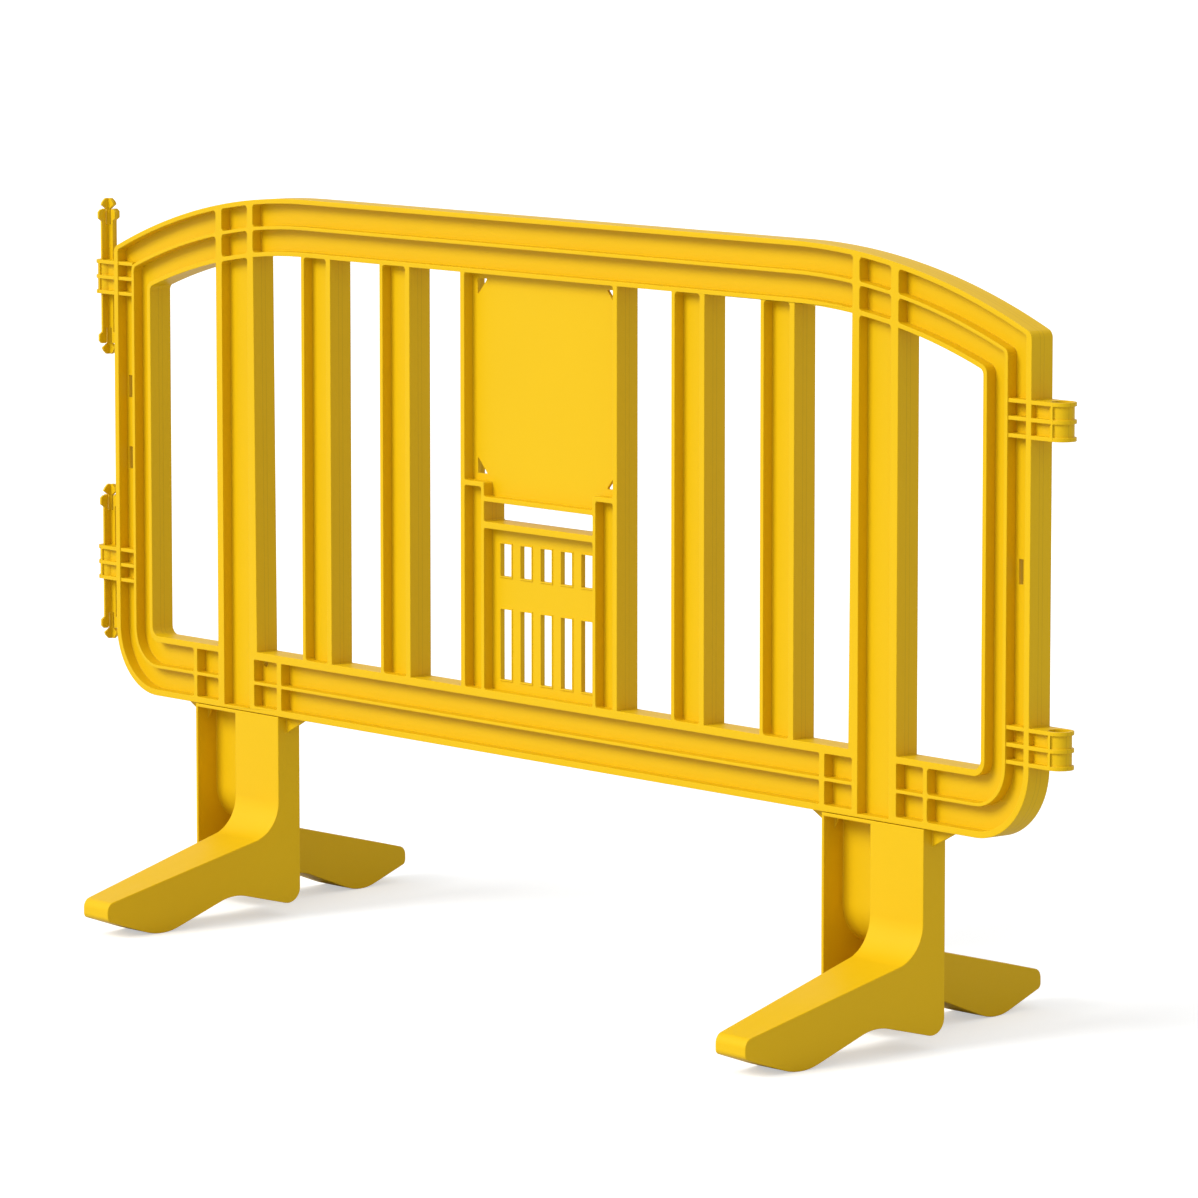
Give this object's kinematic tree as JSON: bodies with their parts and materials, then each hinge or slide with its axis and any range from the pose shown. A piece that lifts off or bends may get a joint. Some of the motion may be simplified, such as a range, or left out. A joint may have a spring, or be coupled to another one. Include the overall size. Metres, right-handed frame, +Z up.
{
  "type": "crowd control barrier",
  "caption": "Moulded plastic crowd control barrier panel with an arched top, upright bars, a sign pane over a grille, end couplings and swivelling feet.",
  "frame": {"origin": "on the ground, midway between the ends of the couplings and in the panel's mid plane", "axes": "+X along the panel towards the coupling loops, -Y out of its front, +Z up"},
  "size_m": [2.114, 0.662, 1.061],
  "materials": {
    "panel_plastic": "satin moulded",
    "foot_plastic": "satin moulded",
    "pin_plastic": "satin moulded",
    "spindle_plastic": "satin moulded"
  },
  "bodies": {
    "panel": {"bar_1": "panel_plastic", "bar_2": "panel_plastic", "bar_3": "panel_plastic", "bar_4": "panel_plastic", "bottom_corner_left": "panel_plastic", "bottom_corner_right": "panel_plastic", "bottom_rail": "panel_plastic", "coupling_loop_lower": "panel_plastic", "coupling_loop_upper": "panel_plastic", "coupling_pin_lower": "pin_plastic", "coupling_pin_upper": "pin_plastic", "end_stile_left": "panel_plastic", "end_stile_right": "panel_plastic", "grille_panel": "panel_plastic", "pin_bracket_lower": "panel_plastic", "pin_bracket_upper": "panel_plastic", "post_left": "panel_plastic", "post_right": "panel_plastic", "retainer_left": "spindle_plastic", "retainer_right": "spindle_plastic", "sign_panel": "panel_plastic", "spindle_left": "spindle_plastic", "spindle_right": "spindle_plastic", "top_arch_left": "panel_plastic", "top_arch_right": "panel_plastic", "top_rail": "panel_plastic"},
    "foot_left": {"foot_left_back_leg": "foot_plastic", "foot_left_cap": "foot_plastic", "foot_left_column": "foot_plastic", "foot_left_front_leg": "foot_plastic"},
    "foot_right": {"foot_right_back_leg": "foot_plastic", "foot_right_cap": "foot_plastic", "foot_right_column": "foot_plastic", "foot_right_front_leg": "foot_plastic"}
  },
  "joints": [
    {"name": "foot_left_swivel", "type": "hinge", "parent": "panel", "child": "foot_left", "pos_m": [-0.7, 0, 0.2725], "axis": [0, 0, 1], "range_deg": [-90, 90]},
    {"name": "foot_right_swivel", "type": "hinge", "parent": "panel", "child": "foot_right", "pos_m": [0.7, 0, 0.2725], "axis": [0, 0, 1], "range_deg": [-90, 90]}
  ]
}
